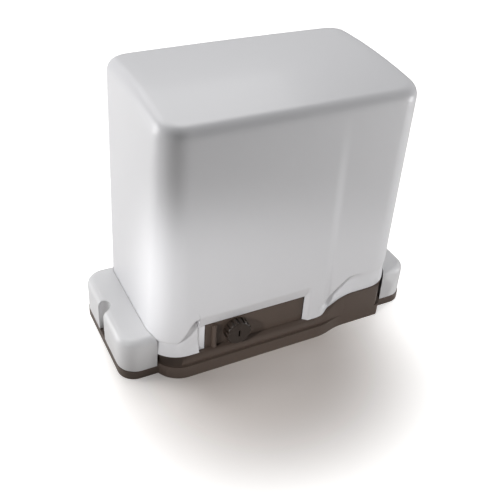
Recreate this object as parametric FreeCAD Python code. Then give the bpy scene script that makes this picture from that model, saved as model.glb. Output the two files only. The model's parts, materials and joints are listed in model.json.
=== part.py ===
import FreeCAD, Part
import math
import os
from FreeCAD import Vector

# Sliding gate motor: a light moulded hood and two foot covers over a dark die-cast base, a vertical
# motor with its worm, a worm wheel with a dog clutch, an output pinion for the gate's rack, the
# release lever with its lock knob, and the control electronics.
# X runs along the gate's travel, -Y is the operator's side, +Z is up. The parts are laid out about
# the middle of the hood and exported about the middle of the whole footprint.

os.makedirs("parts", exist_ok=True)

X_AXIS = Vector(1, 0, 0)
Y_AXIS = Vector(0, 1, 0)
Z_AXIS = Vector(0, 0, 1)

# ---- driving dimensions, mm ----------------------------------------------------------------------
height = 290.0              # floor to the crown of the hood
# base
plate_length = 348.0        # over both feet
plate_front = -68.0
plate_back = 64.0
plate_thick = 10.0
plate_corner_r = 18.0
tub_length = 278.0          # the tub under the hood
tub_front = -86.0
tub_back = 82.0
tub_corner_r = 30.0
tub_right_front = -79.5     # the tub's front is set back right of the door
floor_thick = 8.0
flange_height = 15.0        # lower, wider band of the tub
flange_step = 3.0
rim_low = 27.0              # joint line between tub and hood
rim_high = 44.0             # the same at the front right
rim_rise_start = 40.0       # x where the joint line starts to rise
rim_rise_length = 48.0
collar_height = 8.0         # inner lip that centres the hood
collar_wall = 3.0
# hood
hood_length = 286.0         # at the low joint line
hood_depth = 164.0
hood_top_length = 258.0     # at the crown height
hood_top_depth = 159.0
hood_corner_r = 34.0
hood_top_corner_r = 26.0
hood_wall = 3.0
hood_edge_r = 14.0
crown_r = 1000.0
step_depth = 3.0            # the sculpted step above the joint line
lip_line = 45.0             # height of the step round the front left corner
step_sweep = 30.0           # length of its rise beside the door
step_rise = 24.0
groove_low = 38.0           # the same right of the crease
groove_sweep = 42.0
groove_rise = 21.0
groove_fall = 13.0
crease_x = 48.0             # where the front's right part starts to fall back
crease_lean = -8.0          # how far the crease moves over the hood's height
crease_width = 13.0
setback = 5.0               # of the front's right part at the joint line
# release door
door_left = -90.0
door_right = 26.0
door_top = 59.0
door_gap = 1.0
door_bevel_side = 7.0
door_bevel_top = 9.0
door_face = -78.5
door_thick = 5.0
pivot_x = 15.0
pivot_y = -70.0
pin_r = 3.0
hub_r = 7.0
lever_swing = 90.0          # degrees
clutch_stroke = 7.5
knob_x = -55.0
knob_r = 14.0
knob_height = 10.0
knob_z = 43.0
# foot covers
cover_height = 49.0         # top of the covers above the floor
cover_wall = 2.5
cover_edge_r = 7.0
cover_gap = 0.6
notch_r = 9.0
notch_inset = 2.0           # of the notch's middle from the plate's end
notch_x = plate_length / 2 - notch_inset
notch_floor = 14.0
# anchor slots
anchor_inset = 16.0         # from the plate's end
anchor_x = plate_length / 2 - anchor_inset
anchor_y = 42.0
anchor_r = 5.5
anchor_slot = 16.0          # overall length of a slot
# gears
wheel_module = 3.0
wheel_teeth = 30
wheel_width = 18.0
worm_pitch_r = 15.0
worm_length = 46.0
flank_play = 0.25
pinion_module = 4.0
pinion_teeth = 16
pinion_width = 26.0
output_z = 85.0             # height of the output shaft
wheel_y = 9.0               # middle of the worm wheel
shaft_r = 10.0
worm_root_r = 11.25
worm_tip_r = 18.0
journal_low_r = 7.5
journal_r = 8.5
key_half = 3.0
washer_thick = 2.0
bolt_head = 5.0
lower_seat = 31.0           # under the lower worm bearing
# motor
motor_r = 46.0
motor_wall = 4.0
motor_bottom = 149.0
motor_top = 236.0
core_low, core_high = 160.0, 222.0
rotor_r = 27.0
air_gap = 0.5
shield_top = 246.0
top_journal_r = 6.0
bearing_top_r = 14.0
tie_r = 2.5
# electronics
board_x0, board_x1 = -120.0, -8.0
board_z0, board_z1 = 84.0, 224.0
board_y = -60.0
board_thick = 1.6
carrier_y = -56.0
carrier_thick = 3.0
button_travel = 0.5
button_z = 108.0
transformer_inset = 44.0     # from the hood's end
transformer_x = transformer_inset - hood_length / 2
transformer_y = -20.0
capacitor_inset = 26.5
capacitor_x = hood_length / 2 - capacitor_inset
capacitor_y = 20.0
capacitor_r = 14.5
# limit switch
switch_z = 146.0
switch_y1 = 84.0
wand_y = 88.0
nose_r = 30.0
switch_top = 160.0
ear_x = 104.0               # ears of the captive hood screws
ear_r = 8.0
ear_thick = 5.0
screw_r = 2.5
screw_end = 8.0             # lowest point of the hood screws
cover_screw_x = 167.5
# tray behind the release door
tray_front = -73.0
tray_back = -54.0
tray_wall = 3.0
pin_low = 14.0
rod_z = 43.0
rod_half = 3.0
slide_plate_y = -40.0       # front face of the slide's upright plate
slide_plate = 4.0
lock_r = 8.0
lock_back = -66.0
# way in for the cables, through the floor
cable_x0, cable_x1 = -96.0, -72.0
cable_y0, cable_y1 = 12.0, 54.0
cable_r = 11.0
# gear case, split in the plane of the worm
case_r = 55.0
case_front = -12.0
case_back = 46.0
boss_front = -26.0
bolt_r = 4.0
case_foot_x0, case_foot_x1 = -54.0, 88.0
case_foot_y0, case_foot_y1 = -22.0, 54.0
case_foot_top = 18.0
clamp_r = 2.5
worm_bore = 20.0
case_top = 141.0
bearing_in_r, bearing_in_w = 16.0, 9.0      # lower worm bearing
bearing_up_r, bearing_up_w = 20.0, 12.0     # upper worm bearing
bearing_out_r, bearing_out_w = 23.5, 14.0   # output bearing
cavity_back = 27.0
sleeve_r = 13.0
seal_r = 17.5
seal_w = 10.0
bush_r = 14.0
plunger_r = 4.0
cross_r = 3.0
cross_y = 14.0
bore_end = 40.0
# clearances
run_gap = 0.03              # radial, shafts in their bearings
seat_gap = 0.3              # between a piece and its seat
joint_gap = 0.5             # between hood and tub
far = 1000.0                # beyond every piece

tub_half = tub_length / 2
plate_half = plate_length / 2
rod_x = pivot_x
tray_top = door_top + 0.5 + tray_wall
strike_x = knob_x - 16.0
nose_end = hood_depth / 2 - 4.0
nose_bore = sleeve_r + 1.0
worm_x = wheel_module * wheel_teeth / 2 + worm_pitch_r
pinion_y0 = tub_back + 4.0
pinion_y1 = pinion_y0 + pinion_width
lug_y = hood_depth / 2 + 6.0
retainer_end = pinion_y1 + washer_thick + bolt_head
origin_y = (tub_front + retainer_end) / 2


# ---- helpers -------------------------------------------------------------------------------------
def save(name, shape):
    """Write one sub-part, about the middle of the footprint."""
    placed = shape.copy()
    placed.translate(Vector(0, -origin_y, 0))
    placed.exportStep("parts/" + name + ".step")


def fused(solids):
    """Join solids into one and merge the faces that continue each other."""
    solid = solids[0]
    if len(solids) > 1:
        solid = solid.fuse(list(solids[1:])).removeSplitter()
    return solid


def box(x0, x1, y0, y1, z0, z1):
    return Part.makeBox(x1 - x0, y1 - y0, z1 - z0, Vector(x0, y0, z0))


def post(r, x, y, z0, z1):
    return Part.makeCylinder(r, z1 - z0, Vector(x, y, z0), Z_AXIS)


def barrel(r, x, z, y0, y1):
    return Part.makeCylinder(r, y1 - y0, Vector(x, y0, z), Y_AXIS)


def rounded_wire(x0, x1, y0, y1, r, z):
    """Rounded rectangle in the plane at height z, counter-clockwise from the front left."""
    d = r * (1 - math.sqrt(0.5))
    corners = [
        ((x0, y0 + r), (x0 + d, y0 + d), (x0 + r, y0)),
        ((x1 - r, y0), (x1 - d, y0 + d), (x1, y0 + r)),
        ((x1, y1 - r), (x1 - d, y1 - d), (x1 - r, y1)),
        ((x0 + r, y1), (x0 + d, y1 - d), (x0, y1 - r)),
    ]
    edges = []
    for i, corner in enumerate(corners):
        a, m, b = [Vector(p[0], p[1], z) for p in corner]
        nxt = corners[(i + 1) % 4][0]
        edges.append(Part.Arc(a, m, b).toShape())
        edges.append(Part.LineSegment(b, Vector(nxt[0], nxt[1], z)).toShape())
    return Part.Wire(edges)


def slab(x0, x1, y0, y1, r, z0, z1):
    return Part.Face(rounded_wire(x0, x1, y0, y1, r, z0)).extrude(Vector(0, 0, z1 - z0))


def prism_xz(points, y0, y1):
    """Straight-sided outline in the XZ plane, extruded along Y."""
    ring = [Vector(x, y0, z) for x, z in points]
    return Part.Face(Part.makePolygon(ring + ring[:1])).extrude(Vector(0, y1 - y0, 0))


def ring_of(shape, centre, axis, count):
    """Copies of a shape turned evenly about an axis."""
    copies = []
    for i in range(count):
        turned = shape.copy()
        turned.rotate(centre, axis, 360.0 * i / count)
        copies.append(turned)
    return copies


def rise_curve(x0, z0, length, rise):
    """Edges of an S of two equal arcs, level at both ends, in the XZ plane."""
    radius = (length ** 2 + rise ** 2) / (4 * rise)
    half = math.asin(length / 2 / radius) / 2
    dx, dz = radius * math.sin(half), radius * (1 - math.cos(half))
    a = Vector(x0, 0, z0)
    c = Vector(x0 + length / 2, 0, z0 + rise / 2)
    e = Vector(x0 + length, 0, z0 + rise)
    first = Part.Arc(a, Vector(x0 + dx, 0, z0 + dz), c).toShape()
    second = Part.Arc(c, Vector(e.x - dx, 0, e.z - dz), e).toShape()
    return [first, second]


def below_line(x0, z0, length, rise, x_end, z_floor, y0, y1, drop=0.0):
    """Everything under a line that rises in an S from (x0, z0) and then runs on to x_end."""
    edges = rise_curve(x0, z0, length, rise)
    start = Vector(x0, 0, z0)
    last = Vector(x0 + length, 0, z0 + rise)
    end = Vector(x_end, 0, z0 + rise - drop)
    path = [last, end, Vector(x_end, 0, z_floor), Vector(x0, 0, z_floor), start]
    for a, b in zip(path, path[1:]):
        edges.append(Part.LineSegment(a, b).toShape())
    solid = Part.Face(Part.Wire(edges)).extrude(Vector(0, y1 - y0, 0))
    solid.translate(Vector(0, y0, 0))
    return solid


def gear_outline(module, teeth, y, turn, play):
    """Involute gear outline about the output axis; play is taken off each flank."""
    pitch_r = module * teeth / 2
    base_r = pitch_r * math.cos(math.radians(20))
    tip_r = pitch_r + module
    root_r = pitch_r - 1.25 * module
    inv20 = math.tan(math.radians(20)) - math.radians(20)
    half_at_pitch = math.pi / 2 / teeth - play / pitch_r
    flank = []
    start_r = max(base_r, root_r + 0.3)
    for i in range(4):
        r = start_r + (tip_r - start_r) * i / 3
        pressure = math.acos(min(1.0, base_r / r))
        flank.append((r, half_at_pitch + inv20 - (math.tan(pressure) - pressure)))
    points = []
    for k in range(teeth):
        middle = turn + 2 * math.pi * k / teeth
        profile = [(root_r, -flank[0][1] - 0.02)] + [(r, -a) for r, a in flank]
        profile += [(r, a) for r, a in reversed(flank)] + [(root_r, flank[0][1] + 0.02)]
        for r, a in profile:
            points.append(Vector(r * math.cos(middle + a), y, output_z + r * math.sin(middle + a)))
    return Part.makePolygon(points + points[:1])


# ---- hood ----------------------------------------------------------------------------------------
def along_height(z, at_rim, at_top):
    """A hood size at height z, drafted in a straight line from the joint line to the crown."""
    return at_rim + (at_top - at_rim) * (z - rim_low) / (height - rim_low)


def hood_section(z, inset):
    half_x = along_height(z, hood_length, hood_top_length) / 2 - inset
    half_y = along_height(z, hood_depth, hood_top_depth) / 2 - inset
    r = along_height(z, hood_corner_r, hood_top_corner_r) - inset
    return rounded_wire(-half_x, half_x, -half_y, half_y, r, z)


def setback_wedge(inset):
    """What is taken off the front's right part: nothing near the top, most at the joint line."""
    sections = []
    for z in (0.0, height + 10):
        depth = setback * (height - 15 - z) / (height - 15 - rim_low)
        x = crease_x + crease_lean * z / height + inset / 2
        face = -along_height(z, hood_depth, hood_top_depth) / 2 + inset
        far_x = hood_length
        front = -2 * hood_depth
        points = [(x, front), (x, face), (x + crease_width, face + depth), (far_x, face + depth), (far_x, front)]
        ring = [Vector(px, py, z) for px, py in points]
        sections.append(Part.makePolygon(ring + ring[:1]))
    return Part.makeLoft(sections, True, True)


def hood_walls(inset, z0, z1):
    walls = Part.makeLoft([hood_section(z0, inset), hood_section(z1, inset)], True, True)
    return walls.cut(setback_wedge(inset))


def hood_form(inset, z0):
    """The drafted, crowned block of the hood with its rounded top edge."""
    walls = Part.makeLoft([hood_section(z0, inset), hood_section(height + 5, inset)], True, True)
    crown = Part.makeSphere(crown_r - inset, Vector(0, 0, height - crown_r))
    block = walls.common(crown)
    top_edges = [e for e in block.Edges if e.BoundBox.ZMin > height - 40]
    block = block.makeFillet(hood_edge_r - inset, top_edges)
    return block.cut(setback_wedge(inset))


def hood_cavity(inset, z0):
    """The hood's inside: the same walls, hipped under the rounded edge, under a barrel-shaped crown."""
    z1 = height - hood_edge_r - 10
    walls = Part.makeLoft([hood_section(z0, inset), hood_section(z1, inset)], True, True)
    lift = 0.9 * hood_edge_r
    hip = Part.makeLoft([hood_section(z1, inset), hood_section(z1 + lift, inset + lift * 0.8)], True, True)
    block = walls.fuse(hip)
    cap_r = crown_r - inset
    cap = Part.makeCylinder(cap_r, 2 * hood_depth, Vector(0, -hood_depth, height - crown_r - 4), Y_AXIS)
    return block.common(cap).cut(setback_wedge(inset))


def step_regions(grow=0.0):
    """The two areas beside the door where the hood steps in above its lip."""
    front, back = -hood_depth, plate_front + 8 + grow
    band = lip_line + grow
    foot = door_left - step_sweep - 2
    left = below_line(foot, band, step_sweep, step_rise, door_left + 40, 0, front, back)
    left = left.common(box(-hood_length, door_left - 1 + grow, front, back, 0, height))
    corner = box(-hood_length, foot, front, back, 0, band)
    right = below_line(crease_x - 4 - grow, groove_low + grow, groove_sweep, groove_rise,
                       0.75 * hood_length, 0, front, back, groove_fall)
    return left.fuse(corner), right


def make_hood():
    solid = hood_form(0, rim_low)
    cavity = hood_cavity(hood_wall, rim_low - 5)
    for region in step_regions():
        solid = solid.cut(region)
    solid = solid.fuse(hood_walls(step_depth, rim_low, 90))
    for region in step_regions(hood_wall):
        cavity = cavity.cut(region)
    cavity = cavity.fuse(hood_walls(step_depth + hood_wall, rim_low - 5, 92))
    solid = solid.cut(cavity)
    # the joint line rises at the front right
    solid = solid.cut(below_line(rim_rise_start, rim_low, rim_rise_length, rim_high - rim_low,
                                 hood_length, 0, -hood_depth, 0))
    # door opening, flared outwards at its top and right
    depth0, depth1 = door_face, -hood_depth / 2 - 1
    flare = (door_face - depth1) / (door_face + hood_depth / 2)
    sections = []
    for y, k in ((door_face, 0.0), (depth1, flare)):
        x0, x1 = door_left, door_right + door_bevel_side * k
        z1 = door_top + door_bevel_top * k
        ring = [Vector(x0, y, 0), Vector(x1, y, 0), Vector(x1, y, z1), Vector(x0, y, z1)]
        sections.append(Part.makePolygon(ring + ring[:1]))
    solid = solid.cut(Part.makeLoft(sections, True, True))
    solid = solid.cut(box(door_left, door_right, door_face, -60, 0, door_top))
    # way out for the output shaft's nose at the back, open downwards
    solid = solid.cut(slot_cut(nose_r + 3, switch_top + 6, 60, hood_depth))
    # two ears for the captive hood screws
    for x in (-ear_x, ear_x):
        ear = box(x - ear_r, x + ear_r, hood_depth / 2 - hood_wall, lug_y, rim_low, rim_low + ear_thick)
        ear = ear.fuse(post(ear_r, x, lug_y, rim_low, rim_low + ear_thick)).removeSplitter()
        solid = solid.fuse(ear).cut(post(screw_r + run_gap, x, lug_y, 0, 60))
    return solid.removeSplitter()


def slot_cut(r, top, y0, y1):
    """An upright slot of half width r with a round top, open below."""
    return box(-r, r, y0, y1, 0, top - r).fuse(barrel(r, 0, top - r, y0, y1))


# ---- base ----------------------------------------------------------------------------------------
def tub_block(inset, z0, z1):
    """The tub's outline; its front steps back in a wave right of the door."""
    x = tub_half - inset
    block = slab(-x, x, tub_front + inset, tub_back - inset, tub_corner_r - inset, z0, z1)
    start = tub_front + inset - 0.01
    wave = below_line(door_right + 16, start, 40, tub_right_front - start, hood_length,
                      -2 * hood_depth, -height, height)
    wave.rotate(Vector(0, 0, 0), X_AXIS, -90)
    return block.cut(wave)


def rim_cut(gap, y1):
    """What lies under the joint line, which rises at the front right."""
    return below_line(rim_rise_start, rim_low - gap, rim_rise_length, rim_high - rim_low,
                      hood_length, 0, -hood_depth, y1)


def pocket_box(grow, z0, z1):
    """The tray behind the release door."""
    return box(door_left + 0.6 + tray_wall - grow, door_right + 4 + grow, tray_front, tray_back + grow,
               z0, z1)


def make_base():
    plate = slab(-plate_half, plate_half, plate_front, plate_back, plate_corner_r, 0, plate_thick)
    low_top = rim_low - joint_gap
    solid = fused([plate, tub_block(0, 0, flange_height), tub_block(flange_step, 0, low_top)])
    high = tub_block(flange_step, 0, rim_high + collar_height).common(rim_cut(joint_gap, 0))
    solid = solid.fuse(high)
    lip_inset = hood_wall + step_depth + joint_gap
    lip = hood_walls(lip_inset, floor_thick, rim_high + collar_height)
    lip_low = lip.common(box(-hood_length, hood_length, -hood_depth, hood_depth, 0, rim_low + collar_height))
    lip_high = lip.common(rim_cut(-collar_height, 0))
    solid = solid.fuse(lip_low).fuse(lip_high)
    solid = solid.cut(hood_walls(lip_inset + collar_wall, floor_thick, height))
    # gap in the lip for the output nose, lugs for the hood screws
    solid = solid.cut(box(-nose_r - 4, nose_r + 4, 60, hood_depth, low_top, height))
    for x in (-ear_x, ear_x):
        lug = box(x - ear_r, x + ear_r, tub_back - 8, lug_y, 0, low_top)
        solid = solid.fuse(lug).fuse(post(ear_r, x, lug_y, 0, low_top))
        solid = solid.cut(post(screw_r + run_gap, x, lug_y, screw_end, low_top + 1))
    # tray behind the release door, with the bores of the lever's pin
    solid = solid.cut(box(door_left - door_gap, door_right + 4, -hood_depth, tray_back, low_top, height))
    tray = pocket_box(tray_wall, floor_thick - 1, tray_top)
    tray = tray.cut(pocket_box(0.0, low_top, tray_top - tray_wall))
    tray = tray.fuse(box(strike_x - 3, strike_x, -70, tray_back + 1, 36, 50))
    tray = tray.fuse(box(strike_x - 3, strike_x + 5, -72.5, -69.5, 36, 50))
    solid = solid.fuse(tray).fuse(post(2 * pin_r, pivot_x, pivot_y, tray_top - tray_wall, tray_top))
    solid = solid.cut(post(pin_r, pivot_x, pivot_y, pin_low, height))
    solid = solid.cut(box(rod_x - rod_half - seat_gap, rod_x + rod_half + seat_gap, tray_back - 1,
                          tray_back + 5, rod_z - rod_half - seat_gap, rod_z + rod_half + seat_gap))
    # anchor slots, cover screws, cable way
    for x in (-anchor_x, anchor_x):
        for y in (-anchor_y, anchor_y):
            reach = anchor_slot / 2 - anchor_r
            slot = box(x - reach, x + reach, y - anchor_r, y + anchor_r, -1, plate_thick + 1)
            for side in (-reach, reach):
                slot = slot.fuse(post(anchor_r, x + side, y, -1, plate_thick + 1))
            solid = solid.cut(slot)
    for x in (-cover_screw_x, cover_screw_x):
        solid = solid.cut(post(screw_r + run_gap, x, 0, 2, plate_thick + 1))
    solid = solid.cut(slab(cable_x0, cable_x1, cable_y0, cable_y1, cable_r, -1, floor_thick + 1))
    # feet of the gear case, transformer and board stand on machined pads with tapped holes
    for x, y in case_feet():
        solid = solid.cut(post(bolt_r + run_gap, x, y, 2, height))
    return solid.removeSplitter()


def case_feet():
    return [(x, y) for x in (case_foot_x0, case_foot_x1) for y in (case_foot_y0, case_foot_y1)]


def make_foot_cover(side):
    """One foot cover: a low moulded cap over the anchor slots, with a screw notch at its end."""
    x_in = tub_half - 2.0
    shape = slab(-plate_half, plate_half, plate_front, plate_back, plate_corner_r, plate_thick + 0.2,
                 cover_height)
    top = [e for e in shape.Edges if e.BoundBox.ZMin > cover_height - 1]
    shape = shape.makeFillet(cover_edge_r, top)
    inner = slab(-plate_half + cover_wall, plate_half - cover_wall, plate_front + cover_wall,
                 plate_back - cover_wall, plate_corner_r - cover_wall, 0, cover_height - cover_wall)
    notch = post(notch_r + cover_wall, side * notch_x, 0, 0, height)
    inner = inner.cut(notch)
    shape = shape.cut(inner)
    half = box(*sorted((side * x_in, side * (plate_half + 1))), -hood_depth, hood_depth, 0, height)
    shape = shape.common(half)
    keep_out = slab(-hood_length / 2 - cover_gap, hood_length / 2 + cover_gap,
                    -hood_depth / 2 - cover_gap, hood_depth / 2 + cover_gap,
                    hood_corner_r + cover_gap, 0, height)
    tub = slab(-tub_half - seat_gap, tub_half + seat_gap, tub_front - seat_gap, tub_back + seat_gap,
               tub_corner_r + seat_gap, 0, rim_high)
    shape = shape.cut(keep_out).cut(tub)
    shape = shape.cut(post(notch_r, side * notch_x, 0, notch_floor, height))
    shape = shape.cut(post(screw_r + 0.3, side * cover_screw_x, 0, 0, height))
    return shape.removeSplitter()


def cap_screw(x, y, z_end, z_seat, r=None, head_r=None, head_h=None):
    """Upright cap screw: shank from z_end up to its seat, head above."""
    r = r or screw_r
    head_r = head_r or 1.8 * r
    head_h = head_h or 1.6 * r
    return post(r, x, y, z_end, z_seat).fuse(post(head_r, x, y, z_seat, z_seat + head_h))


# ---- release -------------------------------------------------------------------------------------
def make_door_lever():
    """The release door: a panel hinged on an upright pin at its right end, ribbed behind."""
    z0, z1 = rim_low + 0.5, door_top - door_gap
    x0, x1 = door_left + door_gap, door_right - door_gap
    panel = box(x0, x1, door_face, door_face + door_thick, z0, z1)
    hub = post(hub_r, pivot_x, pivot_y, z0 + 1, z1 - 1)
    web = box(pivot_x - hub_r, pivot_x, door_face + 1, pivot_y, z0 + 1, z1 - 1)
    ridge = box(x0 + 7, x0 + 12, door_face - 4, door_face + 1, z0, z1 - 2)
    ridge = ridge.makeFillet(2.4, [e for e in ridge.Edges if abs(e.BoundBox.YMax - door_face + 4) < 0.1
                                   and e.BoundBox.ZLength > 5])
    frame = box(x0 + 4, pivot_x - hub_r - 1, door_face + door_thick - 1, door_face + door_thick + 3, z0 + 1,
                z1 - 1)
    frame = frame.cut(box(x0 + 7, pivot_x - hub_r - 4, door_face + door_thick, -60, z0 + 4, z1 - 4))
    lever = fused([panel, hub, web, ridge, frame])
    # cam that drives the release rod
    cam = cam_lobe()
    lever = lever.fuse(cam)
    lever = lever.cut(post(pin_r + run_gap, pivot_x, pivot_y, 0, height))
    lever = lever.cut(barrel(lock_r + run_gap, knob_x, knob_z, door_face - 1, -50))
    return lever.removeSplitter()


def cam_lobe():
    """Spiral cam: it pushes the rod back by the clutch stroke over the lever's quarter turn."""
    steps = 12
    ring = []
    for i in range(steps + 1):
        a = math.radians(100 - 100.0 * i / steps)
        reach = hub_r + clutch_stroke * max(0.0, min(1.0, 1 - (math.degrees(a)) / lever_swing))
        ring.append(Vector(pivot_x + reach * math.cos(a), pivot_y + reach * math.sin(a), rod_z - 4))
    ring.append(Vector(pivot_x + hub_r + clutch_stroke - 0.5, pivot_y - 4, rod_z - 4))
    ring.append(Vector(pivot_x, pivot_y - 5, rod_z - 4))
    return Part.Face(Part.makePolygon(ring + ring[:1])).extrude(Vector(0, 0, 8))


def make_lock_knob():
    """Round knob with a fluted rim on the lock's barrel; its bolt turns behind the door."""
    knob = barrel(knob_r, knob_x, knob_z, door_face - knob_height, door_face - seat_gap)
    knob = knob.makeFillet(2.5, [e for e in knob.Edges if e.BoundBox.YMax < door_face - knob_height + 0.1])
    groove = box(knob_x + knob_r - 1.2, knob_x + knob_r + 3, -200, 0, knob_z - 1.1, knob_z + 1.1)
    for flute in ring_of(groove, Vector(knob_x, 0, knob_z), Y_AXIS, 16):
        knob = knob.cut(flute)
    core = barrel(lock_r, knob_x, knob_z, door_face - 3, lock_back)
    slot = box(knob_x - 1.0, knob_x + 1.0, door_face - knob_height - 1, door_face - knob_height + 3,
               knob_z - 4, knob_z + 4)
    return knob.fuse(core).cut(slot).removeSplitter()


def make_lock_cam():
    """Latch bolt on the lock's barrel; upright when open, behind the tray's strike when locked."""
    cam = box(knob_x - 4, knob_x + 4, lock_back, lock_back + 3, knob_z - 5, knob_z + 14)
    return cam.fuse(barrel(6, knob_x, knob_z, lock_back, lock_back + 3)).removeSplitter()


def make_release_slide():
    """Rod with a round nose on the lever's cam, carrying the upright plate that pushes the clutch."""
    nose_y = pivot_y + hub_r + 0.6
    rod = box(rod_x - rod_half, rod_x + rod_half, nose_y + rod_half, slide_plate_y + 1, rod_z - rod_half,
              rod_z + rod_half)
    nose = post(rod_half, rod_x, nose_y + rod_half, rod_z - rod_half, rod_z + rod_half)
    outline = [(rod_x + 6, rod_z - 6), (rod_x + 6, rod_z + 14), (8, output_z), (8, output_z + 8),
               (-8, output_z + 8), (-8, output_z - 8), (rod_x - 6, rod_z + 10), (rod_x - 6, rod_z - 6)]
    plate = prism_xz(outline, slide_plate_y, slide_plate_y + slide_plate)
    return fused([rod, nose, plate])


# ---- gear case -----------------------------------------------------------------------------------
def make_case():
    """Both halves of the gear case in one block, hollowed for wheel, worm and bearings."""
    feet_x0, feet_x1 = case_foot_x0 - 10, case_foot_x1 + 10
    feet = slab(feet_x0, feet_x1, case_foot_y0 - 10, case_foot_y1 + 10, 10, floor_thick, case_foot_top)
    body = barrel(case_r, 0, output_z, case_front, case_back)
    pedestal = box(-38, worm_x + 24, case_front, case_back, case_foot_top - 1, output_z - 25)
    tower = slab(worm_x - 26, worm_x + 26, wheel_y - 26, wheel_y + 26, 9, case_foot_top - 1, case_top)
    nose = barrel(nose_r, 0, output_z, case_back - 1, nose_end)
    boss = barrel(bush_r + 6, 0, output_z, boss_front, case_front + 1)
    block = fused([feet, body, pedestal, tower, nose, boss])
    for angle in (100, 140, 180, 220):
        a = math.radians(angle)
        x, z = (case_r + 2) * math.cos(a), output_z + (case_r + 2) * math.sin(a)
        block = block.fuse(barrel(7, x, z, case_front, case_front + 40))
    block = block.cut(barrel(case_r - 5, 0, output_z, case_front + 6, cavity_back))
    block = block.cut(post(worm_bore, worm_x, wheel_y, lower_seat + bearing_in_w, case_top + 1))
    block = block.cut(post(bearing_in_r, worm_x, wheel_y, lower_seat, lower_seat + bearing_in_w + 1))
    block = block.cut(barrel(bearing_out_r, 0, output_z, cavity_back - 1, cavity_back + bearing_out_w))
    block = block.cut(barrel(nose_bore, 0, output_z, cavity_back, nose_end + 1))
    block = block.cut(barrel(seal_r, 0, output_z, nose_end - seal_w, nose_end + 1))
    block = block.cut(barrel(bush_r, 0, output_z, boss_front - 1, case_front + 7))
    for x, y in case_feet():
        block = block.cut(post(bolt_r + seat_gap, x, y, 0, case_foot_top + 1))
    for x, z in clamp_points():
        block = block.cut(barrel(clamp_r + run_gap, x, z, case_front - 20, case_front + 36))
    for x, y in flange_points():
        block = block.cut(post(3.0 + run_gap, x, y, case_top - 14, case_top + 1))
    return block


def clamp_points():
    points = []
    for angle in (100, 140, 180, 220):
        a = math.radians(angle)
        points.append(((case_r + 2) * math.cos(a), output_z + (case_r + 2) * math.sin(a)))
    return points


def flange_points():
    return [(worm_x + sx * 18.5, wheel_y + sy * 18.5) for sx in (-1, 1) for sy in (-1, 1)]


def make_worm():
    """Worm and motor shaft in one: core, thread, journals for three bearings."""
    z0, z1 = output_z - worm_length / 2, output_z + worm_length / 2
    shaft = post(worm_root_r, worm_x, wheel_y, z0, z1)
    shaft = shaft.fuse(post(journal_low_r, worm_x, wheel_y, lower_seat + 1, z0 + 1))
    shaft = shaft.fuse(post(journal_r, worm_x, wheel_y, z1 - 1, motor_top - 2))
    shaft = shaft.fuse(post(top_journal_r, worm_x, wheel_y, motor_top - 3, motor_top + 8))
    pitch = math.pi * wheel_module
    turns = math.floor((worm_length / pitch - 0.8) / 2) * 2
    start = output_z - pitch * turns / 2    # puts a tooth space beside the wheel's tooth
    helix = Part.makeHelix(pitch, pitch * turns, worm_root_r)
    helix.translate(Vector(worm_x, wheel_y, start))
    tip = pitch / 4 - math.tan(math.radians(20)) * wheel_module - flank_play
    foot = pitch / 4 + math.tan(math.radians(20)) * 1.25 * wheel_module - flank_play
    x0, x1 = worm_x + worm_root_r - 0.4, worm_x + worm_tip_r
    ring = [Vector(x0, wheel_y, start - foot), Vector(x1, wheel_y, start - tip),
            Vector(x1, wheel_y, start + tip), Vector(x0, wheel_y, start + foot)]
    sweep = Part.Wire(helix.Edges).makePipeShell([Part.makePolygon(ring + ring[:1])], True, True)
    return shaft.fuse(sweep)


def make_wheel():
    """Bronze worm wheel; its teeth lean by the worm's lead, and slots in its rear take the clutch."""
    y0, y1 = wheel_y - wheel_width / 2, wheel_y + wheel_width / 2
    lead_slope = wheel_module / (2 * worm_pitch_r)
    lean = wheel_width / 2 * lead_slope / (wheel_module * wheel_teeth / 2)
    sections = [gear_outline(wheel_module, wheel_teeth, y0, lean, flank_play),
                gear_outline(wheel_module, wheel_teeth, y1, -lean, flank_play)]
    wheel = Part.makeLoft(sections, True, True)
    for y_a, y_b in ((y0 - 1, y0 + 5), (y1 - 5, y1 + 1)):
        wheel = wheel.cut(barrel(36, 0, output_z, y_a, y_b).cut(barrel(26, 0, output_z, y_a, y_b)))
    wheel = wheel.cut(barrel(shaft_r + run_gap, 0, output_z, y0 - 1, y1 + 1))
    slot_half = cross_r + 0.4
    wheel = wheel.cut(box(-22, 22, cross_y - slot_half, y1 + 1, output_z - slot_half, output_z + slot_half))
    return wheel


def make_output_shaft():
    shaft = barrel(shaft_r, 0, output_z, boss_front - 1, pinion_y1 - 0.5)
    shaft = shaft.cut(barrel(plunger_r + run_gap, 0, output_z, boss_front - 2, bore_end))
    slot_half = cross_r + 0.1
    shaft = shaft.cut(box(-12, 12, cross_y - slot_half, cross_y + clutch_stroke + slot_half + 0.4,
                          output_z - slot_half, output_z + slot_half))
    shaft = shaft.cut(box(-key_half, key_half, pinion_y0 + 2, pinion_y1 - 2, output_z + 6.5, output_z + 20))
    return shaft.cut(barrel(bolt_r, 0, output_z, pinion_y1 - 22, pinion_y1 + 1))


def make_pinion():
    outline = gear_outline(pinion_module, pinion_teeth, pinion_y0, math.pi / 2, 0.1)
    pinion = Part.Face(outline).extrude(Vector(0, pinion_width, 0))
    pinion = pinion.cut(barrel(shaft_r, 0, output_z, pinion_y0 - 1, pinion_y1 + 1))
    return pinion.cut(box(-key_half, key_half, pinion_y0 - 1, pinion_y1 + 1, output_z, output_z + 12.8))


def bearing(r_in, r_out, width):
    """Sealed ball bearing about the Z axis at the origin."""
    return post(r_out, 0, 0, 0, width).cut(post(r_in + run_gap, 0, 0, -1, width + 1))


def upright(shape, x, y, z):
    moved = shape.copy()
    moved.translate(Vector(x, y, z))
    return moved


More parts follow.
